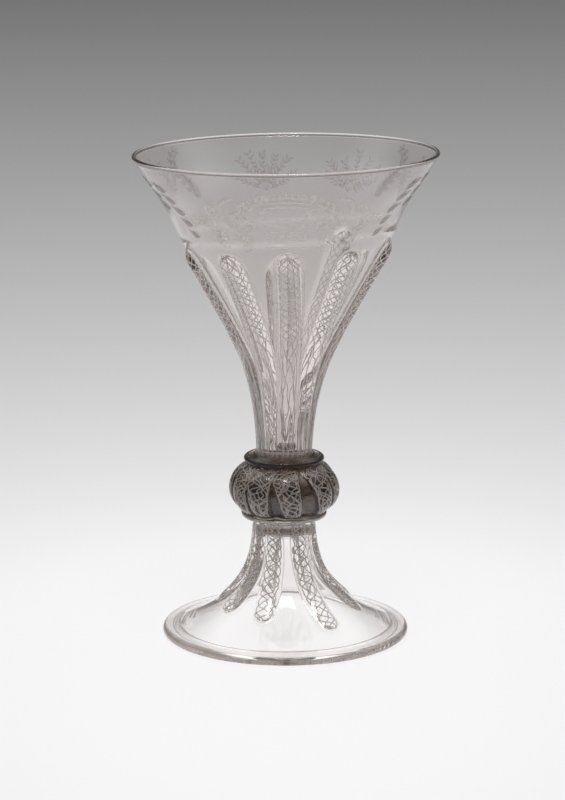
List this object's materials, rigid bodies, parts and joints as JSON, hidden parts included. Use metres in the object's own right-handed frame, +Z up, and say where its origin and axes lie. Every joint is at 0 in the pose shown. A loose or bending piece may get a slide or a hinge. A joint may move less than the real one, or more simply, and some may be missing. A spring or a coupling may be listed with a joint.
{
  "type": "stemmed drinking goblet",
  "caption": "Stemmed goblet of thin clear glass: conical ribbed bowl, dark hollow ribbed knop between two collars, and a spreading foot with a folded rim.",
  "frame": {"origin": "middle of the ring that the foot rests on, in the plane of the surface it stands on", "axes": "+Z up along the stem, -Y towards the viewer of the front, +X to that viewer's right"},
  "size_m": [0.1116, 0.1116, 0.1807],
  "materials": {
    "clear_glass": "fire-polished colourless soda glass with a faint warm grey tint, a few seeds and a matt engraved band",
    "threaded_glass": "clear glass over crossing white filigree threads, fire-polished",
    "smoky_glass": "nearly opaque dark olive-brown glass, glossy"
  },
  "bodies": {
    "root": {"bowl": "clear_glass", "upper_collar": "smoky_glass", "knop": "smoky_glass", "lower_collar": "smoky_glass", "foot": "clear_glass", "bowl_rib_1": "threaded_glass", "bowl_rib_2": "threaded_glass", "bowl_rib_3": "threaded_glass", "bowl_rib_4": "threaded_glass", "bowl_rib_5": "threaded_glass", "bowl_rib_6": "threaded_glass", "bowl_rib_7": "threaded_glass", "bowl_rib_8": "threaded_glass", "bowl_rib_9": "threaded_glass", "bowl_rib_10": "threaded_glass", "knop_rib_1": "threaded_glass", "knop_rib_2": "threaded_glass", "knop_rib_3": "threaded_glass", "knop_rib_4": "threaded_glass", "knop_rib_5": "threaded_glass", "knop_rib_6": "threaded_glass", "knop_rib_7": "threaded_glass", "knop_rib_8": "threaded_glass", "knop_rib_9": "threaded_glass", "knop_rib_10": "threaded_glass", "foot_rib_1": "threaded_glass", "foot_rib_2": "threaded_glass", "foot_rib_3": "threaded_glass", "foot_rib_4": "threaded_glass", "foot_rib_5": "threaded_glass", "foot_rib_6": "threaded_glass", "foot_rib_7": "threaded_glass", "foot_rib_8": "threaded_glass", "foot_rib_9": "threaded_glass"}
  },
  "joints": []
}
